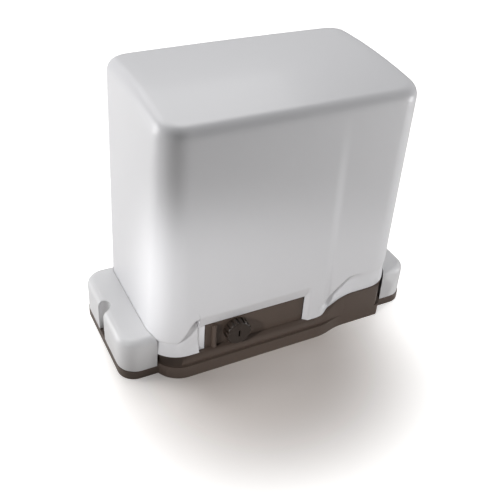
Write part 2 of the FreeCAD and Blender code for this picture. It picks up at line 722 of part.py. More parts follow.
def along_y(shape, x, y, z):
    """Turn a shape built about Z so that it points along +Y, starting at the given point."""
    moved = shape.copy()
    moved.rotate(Vector(0, 0, 0), X_AXIS, -90)
    moved.translate(Vector(x, y, z))
    return moved


# ---- motor ---------------------------------------------------------------------------------------
def make_motor_flange():
    flange = post(motor_r + 3, worm_x, wheel_y, case_top, motor_bottom)
    flange = flange.cut(post(journal_r + 4, worm_x, wheel_y, case_top - 1, motor_bottom + 1))
    for x, y in flange_points():
        flange = flange.cut(post(3.0 + run_gap, x, y, case_top - 1, motor_bottom + 1))
    for x, y in tie_points():
        flange = flange.cut(post(tie_r + run_gap, x, y, case_top - 1, motor_bottom + 1))
    return flange


def tie_points():
    turn = [math.radians(a) for a in (20, 110, 200, 290)]
    reach = motor_r + 2.5 - tie_r
    return [(worm_x + reach * math.cos(a), wheel_y + reach * math.sin(a)) for a in turn]


def make_stator_housing():
    shell = post(motor_r, worm_x, wheel_y, motor_bottom, motor_top)
    groove = box(worm_x + motor_r - 1.5, worm_x + motor_r + 3, wheel_y - 1.5, wheel_y + 1.5,
                 motor_bottom + 6, motor_top - 6)
    for cut in ring_of(groove, Vector(worm_x, wheel_y, 0), Z_AXIS, 24):
        shell = shell.cut(cut)
    shell = shell.cut(post(motor_r - motor_wall, worm_x, wheel_y, motor_bottom - 1, motor_top + 1))
    for x, y in tie_points():
        shell = shell.cut(post(tie_r + 0.5, x, y, motor_bottom - 1, motor_top + 1))
    return shell


def make_stator_core():
    core = post(motor_r - motor_wall, worm_x, wheel_y, core_low, core_high)
    core = core.cut(post(rotor_r + air_gap, worm_x, wheel_y, core_low - 1, core_high + 1))
    slot_x = worm_x + rotor_r + air_gap + 2
    slot = box(slot_x, slot_x + 8, wheel_y - 2.5, wheel_y + 2.5, core_low - 1, core_high + 1)
    for cut in ring_of(slot, Vector(worm_x, wheel_y, 0), Z_AXIS, 12):
        core = core.cut(cut)
    return core


def make_windings():
    """End turns above and below the core, tied into rings."""
    rings = []
    r0, r1 = rotor_r + 5.0, rotor_r + 13.0
    for z, side in ((core_low, -1), (core_high, 1)):
        ring = [(r0, 0), (r1, 0), (r1, side * 7), (r1 - 3, side * 10), (r0 + 3, side * 10), (r0, side * 7)]
        points = [Vector(worm_x + r, wheel_y, z + dz) for r, dz in ring]
        face = Part.Face(Part.makePolygon(points + points[:1]))
        rings.append(face.revolve(Vector(worm_x, wheel_y, 0), Z_AXIS, 360))
    return Part.makeCompound(rings)


def make_rotor():
    core = post(rotor_r, worm_x, wheel_y, core_low, core_high)
    for z0, z1 in ((core_low - 4, core_low), (core_high, core_high + 4)):
        core = core.fuse(post(rotor_r - 4, worm_x, wheel_y, z0, z1))
    return core.cut(post(journal_r, worm_x, wheel_y, core_low - 5, core_high + 5)).removeSplitter()


def make_end_shield():
    shield = post(motor_r + 3, worm_x, wheel_y, motor_top, shield_top - 4)
    shield = shield.fuse(post(22, worm_x, wheel_y, shield_top - 5, shield_top + 3))
    shield = shield.cut(post(bearing_top_r, worm_x, wheel_y, motor_top - 1, motor_top + 8))
    shield = shield.cut(post(top_journal_r + 1, worm_x, wheel_y, motor_top, shield_top))
    for x, y in tie_points():
        shield = shield.cut(post(tie_r + run_gap, x, y, motor_top - 1, shield_top + 1))
    return shield


# ---- electronics ---------------------------------------------------------------------------------
def make_carrier():
    """Moulded plate that stands on the tray's roof and holds the board on four studs."""
    x0, x1 = board_x0 - 4, board_x1 + 4
    z1 = board_z1 + 4
    plate = box(x0, x1, carrier_y, carrier_y + carrier_thick, tray_top, z1)
    plate = plate.fuse(box(x0, x1, carrier_y, carrier_y + 12, z1 - 3, z1))
    for x in (x0, x1 - 3):
        plate = plate.fuse(box(x, x + 3, carrier_y, carrier_y + 12, tray_top + 6, z1))
    plate = plate.cut(box(x0 + 20, x1 - 20, carrier_y - 1, carrier_y + 5, tray_top + 5, board_z0 - 6))
    for x, z in board_holes():
        plate = plate.fuse(barrel(4, x, z, board_y + board_thick, carrier_y + 1))
        plate = plate.cut(barrel(1.5, x, z, board_y, carrier_y + 6))
    return plate.removeSplitter()


def board_holes():
    return [(x, z) for x in (board_x0 + 5, board_x1 - 5) for z in (board_z0 + 5, board_z1 - 5)]


def make_board():
    board = box(board_x0, board_x1, board_y, board_y + board_thick, board_z0, board_z1)
    for x, z in board_holes():
        board = board.cut(barrel(1.6, x, z, board_y - 1, board_y + 5))
    return board


def terminal_block(x0, count, z0):
    pitch, depth, tall = 5.0, 10.0, 11.0
    block = box(x0, x0 + pitch * count, board_y - depth, board_y, z0, z0 + tall)
    for i in range(count):
        x = x0 + pitch * (i + 0.5)
        block = block.cut(box(x - 1.6, x + 1.6, board_y - depth - 1, board_y - depth + 3, z0 + 5, z0 + 9))
        block = block.cut(box(x - 1.5, x + 1.5, board_y - depth + 2, board_y - 3, z0 - 1, z0 + 3))
    return block


def make_terminals():
    return Part.makeCompound([terminal_block(board_x0 + 12, 8, board_z0 + 2),
                              terminal_block(board_x0 + 56, 9, board_z0 + 2)])


def make_relays():
    return Part.makeCompound([box(x, x + 19, board_y - 15, board_y, board_z1 - 40, board_z1 - 25)
                              for x in (board_x0 + 14, board_x0 + 37, board_x0 + 60)])


def make_chips():
    """Processor, rectifier and small electrolytic capacitors."""
    parts = [box(board_x0 + 45, board_x0 + 59, board_y - 2, board_y, 140, 154),
             box(board_x1 - 30, board_x1 - 10, board_y - 6, board_y, 120, 126)]
    for x, z in ((board_x0 + 20, 128), (board_x0 + 32, 128), (board_x0 + 20, 150)):
        parts.append(barrel(4.5, x, z, board_y - 12, board_y))
    return Part.makeCompound(parts)


def make_button_bases():
    bases = []
    for x in button_places():
        base_block = box(x - 3, x + 3, board_y - 3.5, board_y, button_z - 3, button_z + 3)
        base_block = base_block.cut(barrel(1.75 + run_gap, x, button_z, board_y - 4, board_y - 1))
        bases.append(base_block)
    return Part.makeCompound(bases)


def button_places():
    return [board_x1 - 46 + 12 * i for i in range(3)]


def make_button(x):
    return barrel(1.75, x, button_z, board_y - 6.5, board_y - 1.2 - button_travel)


def make_transformer_core():
    x, y = transformer_x, transformer_y
    core = box(x - 28, x + 28, y - 12, y + 12, floor_thick + 4, floor_thick + 52)
    for sx in (-1, 1):
        a, b = sorted((x + sx * 9, x + sx * 19))
        core = core.cut(box(a, b, y - 13, y + 13, floor_thick + 13, floor_thick + 43))
    foot = box(x - 34, x + 34, y - 12, y + 12, floor_thick, floor_thick + 4)
    core = core.fuse(foot).removeSplitter()
    for sx in (-31, 31):
        core = core.cut(post(2, x + sx, y, 0, floor_thick + 5))
    return core


def make_transformer_coil():
    x, y = transformer_x, transformer_y
    z0, z1 = floor_thick + 13.5, floor_thick + 42.5
    coil = slab(x - 18.5, x + 18.5, y - 24, y + 24, 6, z0, z1)
    return coil.cut(box(x - 9, x + 9, y - 12, y + 12, z0 - 1, z1 + 1))


def make_capacitor():
    can = post(capacitor_r, capacitor_x, capacitor_y, floor_thick + 2, 92)
    can = can.makeFillet(2.0, [e for e in can.Edges if e.BoundBox.ZMin > 91])
    for side in (-1, 1):
        can = can.fuse(box(capacitor_x + side * 5 - 2.5, capacitor_x + side * 5 + 2.5, capacitor_y - 0.4,
                           capacitor_y + 0.4, 91, 100))
    return can


def make_capacitor_clamp():
    x, y = capacitor_x, capacitor_y
    clamp = post(capacitor_r + 1.5, x, y, floor_thick, floor_thick + 24)
    clamp = clamp.cut(post(capacitor_r, x, y, floor_thick + 2, floor_thick + 25))
    return clamp.cut(box(x - 1, x + 1, y - 40, y - capacitor_r + 4, floor_thick + 2, floor_thick + 25))


def make_cable_gland():
    """Rubber grommet that closes the cable way and has two slit membranes."""
    gland = slab(cable_x0, cable_x1, cable_y0, cable_y1, cable_r, 4, floor_thick)
    rim = slab(cable_x0 - 3, cable_x1 + 3, cable_y0 - 3, cable_y1 + 3, cable_r + 3, floor_thick, floor_thick + 3)
    gland = gland.fuse(rim)
    x = (cable_x0 + cable_x1) / 2
    for y in (cable_y0 + 11, cable_y1 - 11):
        gland = gland.fuse(post(9, x, y, floor_thick + 2, floor_thick + 9))
        gland = gland.cut(post(6, x, y, 0, floor_thick + 10))
    return gland.removeSplitter()


# ---- limit switch --------------------------------------------------------------------------------
def make_switch_body():
    body = box(-16, 16, case_back + 2, switch_y1 - 3, output_z + nose_r - 2, switch_top)
    body = body.cut(barrel(nose_r, 0, output_z, 0, 200))
    body = body.makeFillet(3.0, [e for e in body.Edges if e.BoundBox.YLength > 20
                                 and e.BoundBox.ZMin > switch_top - 1])
    body = body.fuse(barrel(11, 0, switch_z, switch_y1 - 4, switch_y1))
    return body.cut(barrel(4 + run_gap, 0, switch_z, switch_y1 - 24, switch_y1 + 1)).removeSplitter()


def make_switch_wand():
    hub = barrel(9, 0, switch_z, switch_y1 + seat_gap, switch_y1 + 8)
    spindle = barrel(4, 0, switch_z, switch_y1 - 22, switch_y1 + 2)
    wand = post(1.8, 0, wand_y, switch_z, switch_z + 66)
    tip = Part.makeSphere(3.0, Vector(0, wand_y, switch_z + 66))
    return fused([hub, spindle, wand, tip])


# ---- everything ----------------------------------------------------------------------------------

save("base", make_base())
save("hood", make_hood())
for name, side in (("left", -1), ("right", 1)):
    save("foot_cover_" + name, make_foot_cover(side))
    save("foot_cover_screw_" + name, cap_screw(side * cover_screw_x, 0, 3, notch_floor))
save("hood_screws", Part.makeCompound(
    [cap_screw(x, lug_y, screw_end, rim_low + ear_thick) for x in (-ear_x, ear_x)]))

save("release_door", make_door_lever())
save("release_pin", post(pin_r, pivot_x, pivot_y, pin_low, tray_top))
save("lock_knob", make_lock_knob())
save("lock_bolt", make_lock_cam())
save("release_slide", make_release_slide())

case = make_case()
save("gear_case_rear", case.common(box(-far, far, wheel_y, far, -far, far)))
save("gear_case_front", case.common(box(-far, far, -far, wheel_y, -far, far)))
save("case_feet_bolts", Part.makeCompound([cap_screw(x, y, 3, case_foot_top, bolt_r, 6.5, 6)
                                           for x, y in case_feet()]))
clamp = cap_screw(0, 0, 0, 32, clamp_r)
save("case_screws", Part.makeCompound([along_y(upright(clamp, 0, 0, -32).mirror(Vector(0, 0, 0), Z_AXIS),
                                               x, case_front, z) for x, z in clamp_points()]))
save("worm_shaft", make_worm())
save("worm_bearing_lower", upright(bearing(journal_low_r, bearing_in_r, bearing_in_w), worm_x, wheel_y,
                                   lower_seat))
save("worm_bearing_upper", upright(bearing(journal_r, bearing_up_r, bearing_up_w), worm_x, wheel_y, 125))
save("worm_wheel", make_wheel())
save("output_shaft", make_output_shaft())
save("output_bearing", along_y(bearing(shaft_r, bearing_out_r, bearing_out_w), 0, cavity_back, output_z))
bush = barrel(bush_r, 0, output_z, boss_front, case_front + 6)
save("output_bush", bush.cut(barrel(shaft_r + run_gap, 0, output_z, -far, far)))
sleeve = barrel(sleeve_r, 0, output_z, cavity_back + bearing_out_w + 0.5, pinion_y0)
save("output_sleeve", sleeve.cut(barrel(shaft_r, 0, output_z, 0, 200)))
seal = barrel(seal_r, 0, output_z, nose_end - seal_w, nose_end)
save("output_seal", seal.cut(barrel(sleeve_r + run_gap, 0, output_z, 0, 200)))
save("clutch_plunger", barrel(plunger_r, 0, output_z, slide_plate_y + slide_plate + 0.3, cross_y + 8).cut(
    Part.makeCylinder(cross_r, 30, Vector(-15, cross_y, output_z), X_AXIS)))
save("clutch_pin", Part.makeCylinder(cross_r, 40, Vector(-20, cross_y, output_z), X_AXIS))
save("pinion", make_pinion())
save("pinion_key", box(-key_half, key_half, pinion_y0 + 2, pinion_y1 - 2, output_z + 6.5, output_z + 12.8))
save("pinion_washer", barrel(15, 0, output_z, pinion_y1, pinion_y1 + washer_thick).cut(
    barrel(bolt_r + 0.3, 0, output_z, 0, 200)))
bolt = cap_screw(0, 0, -20, 0, bolt_r, 6.5, bolt_head)
save("pinion_bolt", along_y(bolt, 0, pinion_y1 + washer_thick, output_z))

save("motor_flange", make_motor_flange())
save("motor_flange_bolts", Part.makeCompound([cap_screw(x, y, case_top - 13, motor_bottom, 3.0, 5.0, 4)
                                              for x, y in flange_points()]))
save("stator_housing", make_stator_housing())
save("stator_core", make_stator_core())
save("stator_windings", make_windings())
save("rotor_core", make_rotor())
save("motor_end_shield", make_end_shield())
save("motor_bearing_top", upright(bearing(top_journal_r, bearing_top_r, 8), worm_x, wheel_y, motor_top))
save("motor_tie_bolts", Part.makeCompound([cap_screw(x, y, case_top + 1, shield_top - 4, tie_r)
                                           for x, y in tie_points()]))

save("board_carrier", make_carrier())
save("control_board", make_board())
save("board_terminals", make_terminals())
save("board_relays", make_relays())
save("board_components", make_chips())
save("button_bases", make_button_bases())
for name, x in zip(("down", "enter", "up"), button_places()):
    save("button_" + name, make_button(x))
save("board_screws", Part.makeCompound([along_y(cap_screw(0, 0, 0, 7, 1.5).mirror(Vector(0, 0, 0), Z_AXIS),
                                                x, board_y + 7, z) for x, z in board_holes()]))
save("transformer_core", make_transformer_core())
save("transformer_coil", make_transformer_coil())
save("run_capacitor", make_capacitor())
save("capacitor_clamp", make_capacitor_clamp())
save("cable_grommet", make_cable_gland())
save("limit_switch", make_switch_body())
save("limit_wand", make_switch_wand())
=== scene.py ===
import json
import math

import bmesh
import bpy
import numpy as np
from mathutils import Matrix, Vector

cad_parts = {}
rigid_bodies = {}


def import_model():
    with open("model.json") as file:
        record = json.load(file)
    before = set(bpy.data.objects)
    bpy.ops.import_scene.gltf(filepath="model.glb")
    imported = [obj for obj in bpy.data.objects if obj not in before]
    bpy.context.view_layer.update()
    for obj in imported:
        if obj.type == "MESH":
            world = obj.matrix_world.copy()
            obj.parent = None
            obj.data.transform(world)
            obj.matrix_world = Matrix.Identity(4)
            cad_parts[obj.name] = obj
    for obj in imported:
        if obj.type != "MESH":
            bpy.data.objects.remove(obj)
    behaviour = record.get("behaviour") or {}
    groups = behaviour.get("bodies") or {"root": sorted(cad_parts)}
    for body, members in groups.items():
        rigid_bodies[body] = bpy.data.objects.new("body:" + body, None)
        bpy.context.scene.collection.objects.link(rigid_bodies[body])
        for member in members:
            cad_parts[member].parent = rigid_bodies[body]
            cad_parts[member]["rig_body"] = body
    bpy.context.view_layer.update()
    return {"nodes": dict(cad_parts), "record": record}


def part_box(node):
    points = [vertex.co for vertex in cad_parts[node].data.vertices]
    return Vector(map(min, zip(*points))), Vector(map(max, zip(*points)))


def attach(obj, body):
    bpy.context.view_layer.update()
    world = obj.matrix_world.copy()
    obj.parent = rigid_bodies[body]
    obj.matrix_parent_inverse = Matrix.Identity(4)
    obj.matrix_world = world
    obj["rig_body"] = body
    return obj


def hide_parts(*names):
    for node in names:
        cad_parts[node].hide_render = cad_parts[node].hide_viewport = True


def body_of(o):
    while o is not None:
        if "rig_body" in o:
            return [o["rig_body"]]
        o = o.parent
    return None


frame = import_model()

# Sliding gate motor. The hood, its two screw ears and the two foot covers are surfaces worked out on
# grids. Every other part keeps its CAD shape, with its triangles merged and shaded smooth. Every
# finish is built from nodes. Lengths are in millimetres about the middle of the hood until placed()
# turns them into metres; lamps, camera and floor are in metres.

NODES = frame["nodes"]
RECORD = frame["record"]
SLOTS = {part["node"]: part["material_slot"] for part in RECORD["subparts"]}

MM = 0.001
TUB_FRONT = -86.0
SHIFT_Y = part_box("base")[0].y * 1000 - TUB_FRONT
HEIGHT = 290.0


def placed(points):
    """Millimetres about the hood's middle to metres in the shared frame: (x, y + shift, z) / 1000."""
    points = np.asarray(points, float).reshape(-1, 3)
    return (points + np.array([0.0, SHIFT_Y, 0.0])) * MM


def show(obj):
    """Links an object to the scene."""
    bpy.context.scene.collection.objects.link(obj)


# ---- camera, lights and floor --------------------------------------------------------------------
WHITE = (1, 1, 1, 1)
AMBIENT = 0.15
SOFTBOXES = (     # name, place, aim, width and height, power
    ("left_box", (-1.35, 0.8, 0.4), (0, 0, 0.12), (0.7, 0.9), 14),
    ("front_box", (1.0, -0.6, 0.2), (0.06, 0, 0.12), (0.45, 0.45), 5.5),
    ("back_box", (0.0, 0.75, 1.5), (0, 0, 0.15), (1.7, 1.3), 17))
SPOT_PLACE, SPOT_AIM = (-0.75, -0.42, 0.42), (0.03, -0.08, 0.04)
SPOT_POWER, SPOT_ANGLE, SPOT_RADIUS = 17, 20, 0.03

FLOOR_SIZE, FLOOR_ROUGHNESS, FLOOR_SPECULAR = 6.0, 0.3, 0.6
# Painted shadow on the floor: in a patch in front of the object's foot its colour turns warm and darker, and
# its camera-only glow dims.
FLOOR_PAINTED_SHADOW, FLOOR_FAR = (0.80, 0.74, 0.70, 1), (0.93, 0.915, 0.90, 1)
FLOOR_GLOW = 0.85
PAINTED_SHADOW_MIDDLE = (-0.03, -0.11, 0.0)
PAINTED_SHADOW_START, PAINTED_SHADOW_END = 0.06, 0.25


def make_camera():
    """Camera on the line from the target turned by yaw and pitch, then rolled about its own axis."""
    yaw, pitch, roll = -0.505, 0.636, 0.071
    distance = 0.8318
    target = Vector((-0.0023, SHIFT_Y * MM, 0.0743))
    back = Vector((math.sin(yaw) * math.cos(pitch), -math.cos(yaw) * math.cos(pitch), math.sin(pitch)))
    data = bpy.data.cameras.new("camera")
    data.sensor_width = 36.0
    data.lens = 53.856
    data.shift_x = 0.0026
    data.clip_start, data.clip_end = 0.01, 50
    cam = bpy.data.objects.new("camera", data)
    cam.matrix_world = (Matrix.Translation(target + back * distance)
                        @ (-back).to_track_quat("-Z", "Y").to_matrix().to_4x4()
                        @ Matrix.Rotation(roll, 4, "Z"))
    show(cam)
    bpy.context.scene.camera = cam


def hang_lamp(data, place, aim):
    """Puts a lamp at a place, its axis on the line to a point of the object."""
    lamp = bpy.data.objects.new(data.name, data)
    lamp.location = place
    lamp.rotation_mode = "QUATERNION"
    lamp.rotation_quaternion = (Vector(aim) - Vector(place)).to_track_quat("-Z", "Y")
    show(lamp)


def make_lamps():
    """Three rectangular softboxes and a low spot with a soft rim."""
    for name, place, aim, size, power in SOFTBOXES:
        data = bpy.data.lights.new(name, "AREA")
        data.shape = "RECTANGLE"
        data.size, data.size_y = size
        data.energy = power
        hang_lamp(data, place, aim)
    low = bpy.data.lights.new("low_spot", "SPOT")
    low.energy = SPOT_POWER
    low.spot_size = math.radians(SPOT_ANGLE)
    low.spot_blend = 1.0
    low.shadow_soft_size = SPOT_RADIUS
    hang_lamp(low, SPOT_PLACE, SPOT_AIM)


def make_world():
    """Dim even light for the object; the camera and rays through glass see plain white instead."""
    world = bpy.data.worlds.new("studio")
    bpy.context.scene.world = world
    world.use_nodes = True
    nodes, links = world.node_tree.nodes, world.node_tree.links
    nodes.clear()
    path = nodes.new("ShaderNodeLightPath")
    seen = nodes.new("ShaderNodeMath")
    seen.operation = "MAXIMUM"
    links.new(path.outputs["Is Camera Ray"], seen.inputs[0])
    links.new(path.outputs["Is Transmission Ray"], seen.inputs[1])
    mix = nodes.new("ShaderNodeMixShader")
    links.new(seen.outputs[0], mix.inputs["Fac"])
    for socket, strength in ((mix.inputs[1], AMBIENT), (mix.inputs[2], 1.0)):
        light = nodes.new("ShaderNodeBackground")
        light.inputs["Color"].default_value = WHITE
        light.inputs["Strength"].default_value = strength
        links.new(light.outputs[0], socket)
    links.new(mix.outputs[0], nodes.new("ShaderNodeOutputWorld").inputs["Surface"])


def painted_shadow_fade(nodes, links, distance, top):
    """Smooth step of a distance that shapes the painted shadow on the floor: 0 close to the object's foot, a
    top value away from it.
    """
    shadow_step = nodes.new("ShaderNodeMapRange")
    shadow_step.interpolation_type = "SMOOTHSTEP"
    for label, value in (("From Min", PAINTED_SHADOW_START), ("From Max", PAINTED_SHADOW_END), ("To Min", 0.0), ("To Max", top)):
        shadow_step.inputs[label].default_value = value
    links.new(distance, shadow_step.inputs["Value"])
    return shadow_step.outputs["Result"]


def make_floor():
    """Glossy floor with a painted warm shadow at the object's foot, pale away from it. Its glow, which the
    camera alone sees, grows with the distance from the foot, so the painted shadow there is darker too."""
    mesh = bpy.data.meshes.new("floor")
    corners = [(x * FLOOR_SIZE, y * FLOOR_SIZE, 0) for x, y in ((-1, -1), (1, -1), (1, 1), (-1, 1))]
    mesh.from_pydata(corners, [], [(0, 1, 2, 3)])
    floor = bpy.data.objects.new("floor", mesh)
    show(floor)
    mat = bpy.data.materials.new("floor")
    mat.use_nodes = True
    nodes, links = mat.node_tree.nodes, mat.node_tree.links
    body = nodes["Principled BSDF"]
    body.inputs["Roughness"].default_value = FLOOR_ROUGHNESS
    body.inputs["Specular IOR Level"].default_value = FLOOR_SPECULAR
    away = nodes.new("ShaderNodeVectorMath")
    away.operation = "DISTANCE"
    away.inputs[1].default_value = PAINTED_SHADOW_MIDDLE
    links.new(nodes.new("ShaderNodeTexCoord").outputs["Object"], away.inputs[0])
    # Painted warm shadow at the foot, the floor's own pale colour away from it.
    shadow_tint = nodes.new("ShaderNodeMix")
    shadow_tint.data_type = "RGBA"
    shadow_tint.inputs["A"].default_value = FLOOR_PAINTED_SHADOW
    shadow_tint.inputs["B"].default_value = FLOOR_FAR
    links.new(painted_shadow_fade(nodes, links, away.outputs["Value"], 1.0), shadow_tint.inputs["Factor"])
    links.new(shadow_tint.outputs["Result"], body.inputs["Base Color"])
    # The glow dims towards the foot, which paints shade there as well.
    seen = nodes.new("ShaderNodeMath")
    seen.operation = "MULTIPLY"
    links.new(nodes.new("ShaderNodeLightPath").outputs["Is Camera Ray"], seen.inputs[0])
    links.new(painted_shadow_fade(nodes, links, away.outputs["Value"], FLOOR_GLOW), seen.inputs[1])
    glow = nodes.new("ShaderNodeEmission")
    glow.inputs["Color"].default_value = WHITE
    links.new(seen.outputs[0], glow.inputs["Strength"])
    add = nodes.new("ShaderNodeAddShader")
    links.new(body.outputs[0], add.inputs[0])
    links.new(glow.outputs[0], add.inputs[1])
    links.new(add.outputs[0], nodes["Material Output"].inputs["Surface"])
    mesh.materials.append(mat)


bpy.context.scene.view_settings.view_transform = "Standard"
make_camera()
make_world()
make_lamps()
make_floor()


# ---- finishes ------------------------------------------------------------------------------------
COAT_ROUGHNESS = 0.12
BUMP_DEPTH = 1.0 * MM


def new_group(name, inputs, outputs):
    """Empty shader group with named value, colour or vector sockets, and its two end nodes."""
    group = bpy.data.node_groups.new(name, "ShaderNodeTree")
    kinds = {"value": "NodeSocketFloat", "colour": "NodeSocketColor", "vector": "NodeSocketVector"}
    for label, kind, start in inputs:
        socket = group.interface.new_socket(label, in_out="INPUT", socket_type=kinds[kind])
        socket.default_value = start
    for label, kind in outputs:
        group.interface.new_socket(label, in_out="OUTPUT", socket_type=kinds[kind])
    return group, group.nodes.new("NodeGroupInput"), group.nodes.new("NodeGroupOutput")


def math_node(group, operation, a, b=0.0):
    """Output of a math node on two sockets or numbers."""
    node = group.nodes.new("ShaderNodeMath")
    node.operation = operation
    for socket, value in zip(node.inputs, (a, b)):
        if isinstance(value, (int, float)):
            socket.default_value = value
        else:
            group.links.new(value, socket)
    return node.outputs[0]


def noise_node(group, vector, scale, detail, rough):
    """Noise between 0 and 1 over a vector, its scale taken from a socket."""
    node = group.nodes.new("ShaderNodeTexNoise")
    group.links.new(vector, node.inputs["Vector"])
    group.links.new(scale, node.inputs["Scale"])
    node.inputs["Detail"].default_value = detail
    node.inputs["Roughness"].default_value = rough
    return node.outputs["Fac"]


def grain_group():
    """Moulded or cast surface: slow clouding of the colour, fine grain in roughness and height.
    Stretch draws the grain out along an axis. Sheets, a sine of the height, dip by Layer Contrast.
    Color = mix(Color, Shade, cloud * Clouding + dip); Roughness = base + (grain - 0.5) * Spread."""
    group, start, end = new_group(
        "surface grain",
        [("Color", "colour", (0.8, 0.8, 0.8, 1)), ("Shade", "colour", (0.7, 0.7, 0.7, 1)),
         ("Clouding", "value", 0.3), ("Cloud Scale", "value", 12.0), ("Grain Scale", "value", 900.0),
         ("Base Roughness", "value", 0.4), ("Spread", "value", 0.1), ("Stretch", "vector", (1, 1, 1)),
         ("Layers", "value", 0.0), ("Layer Contrast", "value", 0.0)],
        [("Color", "colour"), ("Roughness", "value"), ("Height", "value")])
    given = start.outputs
    coord = group.nodes.new("ShaderNodeTexCoord").outputs["Object"]
    drawn = group.nodes.new("ShaderNodeVectorMath")
    drawn.operation = "MULTIPLY"
    group.links.new(coord, drawn.inputs[0])
    group.links.new(given["Stretch"], drawn.inputs[1])
    cloud = noise_node(group, coord, given["Cloud Scale"], 3.0, 0.55)
    fine = noise_node(group, drawn.outputs[0], given["Grain Scale"], 1.0, 0.5)
    split = group.nodes.new("ShaderNodeSeparateXYZ")
    group.links.new(coord, split.inputs[0])
    phase = math_node(group, "MULTIPLY", split.outputs["Z"], given["Layers"])
    band = math_node(group, "ABSOLUTE", math_node(group, "SINE", phase))
    gap = math_node(group, "SUBTRACT", 1.0, band)
    dip = math_node(group, "MULTIPLY", gap, given["Layer Contrast"])
    grain = math_node(group, "SUBTRACT", fine, dip)
    worn = math_node(group, "MULTIPLY", cloud, given["Clouding"])
    mix = group.nodes.new("ShaderNodeMix")
    mix.data_type = "RGBA"
    group.links.new(math_node(group, "ADD", worn, dip), mix.inputs["Factor"])
    group.links.new(given["Color"], mix.inputs["A"])
    group.links.new(given["Shade"], mix.inputs["B"])
    offset = math_node(group, "SUBTRACT", grain, 0.5)
    swing = math_node(group, "MULTIPLY", offset, given["Spread"])
    group.links.new(mix.outputs["Result"], end.inputs["Color"])
    group.links.new(math_node(group, "ADD", given["Base Roughness"], swing), end.inputs["Roughness"])
    group.links.new(grain, end.inputs["Height"])
    return group


GRAIN = grain_group()


def finish(name, colour, rough, shade=0.82, metallic=0.0, coat=0.0, bump=0.02, **settings):
    """A finish from the grain group: its colour, roughness and height feed one Principled shader."""
    mat = bpy.data.materials.new(name)
    mat.use_nodes = True
    nodes, links = mat.node_tree.nodes, mat.node_tree.links
    shader = nodes["Principled BSDF"]
    shader.inputs["Metallic"].default_value = metallic
    shader.inputs["Coat Weight"].default_value = coat
    shader.inputs["Coat Roughness"].default_value = COAT_ROUGHNESS
    grain = nodes.new("ShaderNodeGroup")
    grain.node_tree = GRAIN
    grain.inputs["Color"].default_value = (*colour, 1)
    grain.inputs["Shade"].default_value = (*[shade * v for v in colour], 1)
    grain.inputs["Base Roughness"].default_value = rough
    for label, value in settings.items():
        grain.inputs[label.replace("_", " ").title()].default_value = value
    bumps = nodes.new("ShaderNodeBump")
    bumps.inputs["Strength"].default_value = bump
    bumps.inputs["Distance"].default_value = BUMP_DEPTH
    links.new(grain.outputs["Color"], shader.inputs["Base Color"])
    links.new(grain.outputs["Roughness"], shader.inputs["Roughness"])
    links.new(grain.outputs["Height"], bumps.inputs["Height"])
    links.new(bumps.outputs["Normal"], shader.inputs["Normal"])
    return mat


BROWN = dict(colour=(0.105, 0.076, 0.060), rough=0.46, shade=0.8, grain_scale=700.0, bump=0.06, spread=0.16)
CAST = dict(rough=0.5, metallic=1.0, grain_scale=1100.0, bump=0.12, spread=0.2, clouding=0.5)
TURNED = dict(rough=0.28, metallic=1.0, grain_scale=260.0, stretch=(1, 1, 14), bump=0.03, spread=0.16)
LOOKS = {
    "hood": dict(rough=0.36, shade=0.97, coat=0.12, grain_scale=1200.0, bump=0.012, spread=0.06),
    "covers": dict(rough=0.40, shade=0.96, coat=0.08, grain_scale=1200.0, bump=0.015, spread=0.06),
    "base": BROWN,
    "door": BROWN,
    "knob": dict(colour=(0.032, 0.021, 0.015), rough=0.42, bump=0.04, spread=0.12),
    "zinc": dict(rough=0.3, metallic=1.0, clouding=0.6, cloud_scale=90.0, spread=0.2),
    "steel": TURNED,
    "gear_steel": dict(TURNED, rough=0.34, stretch=(1, 14, 1)),
    "cast_aluminium": CAST,
    "bronze": dict(TURNED, stretch=(1, 14, 1)),
    "laminations": dict(rough=0.45, metallic=1.0, layers=3140.0, layer_contrast=0.7, bump=0.3, spread=0.2),
    "copper": dict(rough=0.35, metallic=1.0, layers=2200.0, layer_contrast=0.6, bump=0.4, spread=0.2),
    "coil_tape": dict(rough=0.5, layers=420.0, layer_contrast=0.35, bump=0.1, spread=0.1),
    "board": dict(rough=0.35, coat=0.4, clouding=0.6, cloud_scale=160.0, grain_scale=500.0, spread=0.12),
    "rubber": dict(rough=0.75, grain_scale=800.0, bump=0.08, spread=0.1),
    "spring_steel": dict(TURNED, rough=0.2)}
FINISHES = {}
for entry in RECORD["materials"]:
    look = dict(colour=entry["base_color"][:3], rough=0.4, spread=0.1)
    look.update(LOOKS.get(entry["slot"], {}))
    FINISHES[entry["slot"]] = finish(entry["slot"], **look)
for node, slot in SLOTS.items():
    NODES[node].data.materials.clear()
    NODES[node].data.materials.append(FINISHES[slot])


# ---- surfaces ------------------------------------------------------------------------------------
def eased(t):
    """Smooth step: 3 t^2 - 2 t^3 between 0 and 1."""
    t = np.clip(t, 0.0, 1.0)
    return t * t * (3 - 2 * t)


def rise(value, start, sweep):
    """Smooth step of a value: 0 up to a start, 1 from one sweep past it."""
    return eased((value - start) / sweep)


def fall(value, end, sweep):
    """Smooth step of a value: 1 up to one sweep before an end, 0 from the end on."""
    return eased((end - value) / sweep)


def grid_faces(rows, columns, keep):
    """Quads of a grid whose columns close on themselves; keep marks which of them are drawn."""
    i, j = np.meshgrid(np.arange(rows - 1), np.arange(columns), indexing="ij")
    k = (j + 1) % columns
    quads = np.stack([i * columns + j, i * columns + k, (i + 1) * columns + k, (i + 1) * columns + j], -1)
    return quads[keep]


